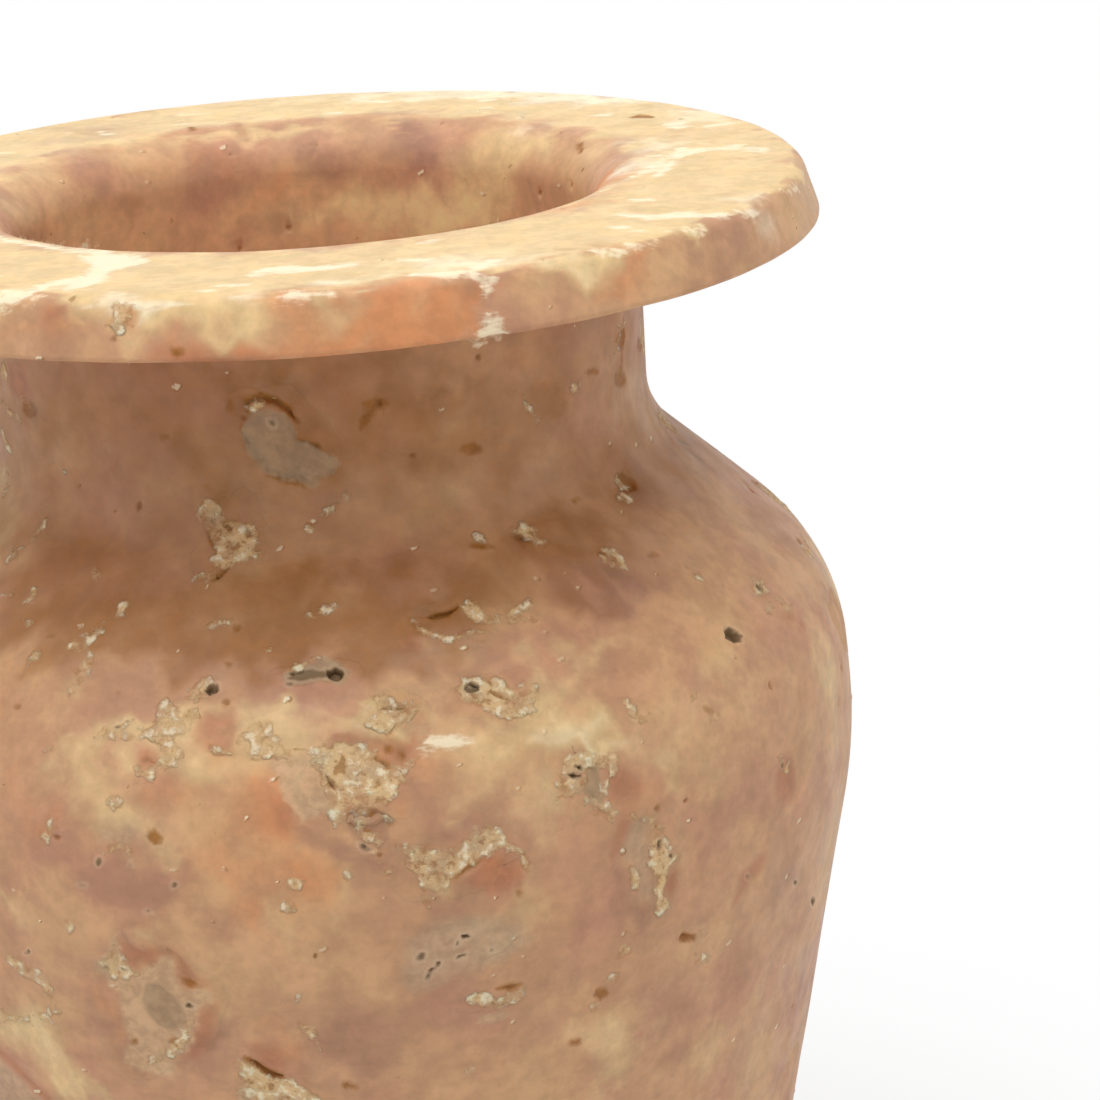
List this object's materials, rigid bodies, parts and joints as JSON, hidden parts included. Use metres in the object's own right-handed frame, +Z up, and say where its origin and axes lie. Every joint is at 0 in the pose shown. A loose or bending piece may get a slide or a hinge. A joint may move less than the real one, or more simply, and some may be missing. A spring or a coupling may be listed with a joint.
{
  "type": "stone vase",
  "caption": "Turned stone jar with a flat bottom, high round shoulder, short straight neck and broad flat rim, with lumps of other stone set in its skin.",
  "frame": {"origin": "centre of the flat foot, on the surface that the jar stands on", "axes": "+Z up along the jar's turning axis; -Y is the side that faces the viewer"},
  "size_m": [0.0873, 0.0873, 0.12],
  "materials": {
    "honey_stone": "polished",
    "grey_stone": "matt",
    "cream_stone": "matt",
    "beige_stone": "satin"
  },
  "bodies": {
    "root": {"vase_body": "honey_stone", "grey_neck_inclusion": "grey_stone", "cream_neck_inclusion": "cream_stone", "grey_shoulder_inclusion": "grey_stone", "dark_pitted_inclusion": "grey_stone", "round_holed_inclusion": "cream_stone", "cream_slot_inclusion": "cream_stone", "cream_shoulder_inclusion": "cream_stone", "cream_pit_inclusion": "cream_stone", "cream_band_inclusion": "cream_stone", "tall_grey_inclusion": "grey_stone", "speckled_green_inclusion": "grey_stone", "large_beige_inclusion": "beige_stone", "pink_bar_inclusion": "beige_stone", "lower_cream_inclusion": "cream_stone", "left_cream_inclusion": "cream_stone", "left_beige_inclusion": "beige_stone", "left_low_inclusion": "grey_stone", "right_cream_inclusion": "cream_stone", "right_low_inclusion": "beige_stone", "back_neck_inclusion": "cream_stone", "back_grey_inclusion": "grey_stone", "back_cream_inclusion": "cream_stone", "back_low_inclusion": "beige_stone", "front_low_inclusion": "cream_stone"}
  },
  "joints": []
}
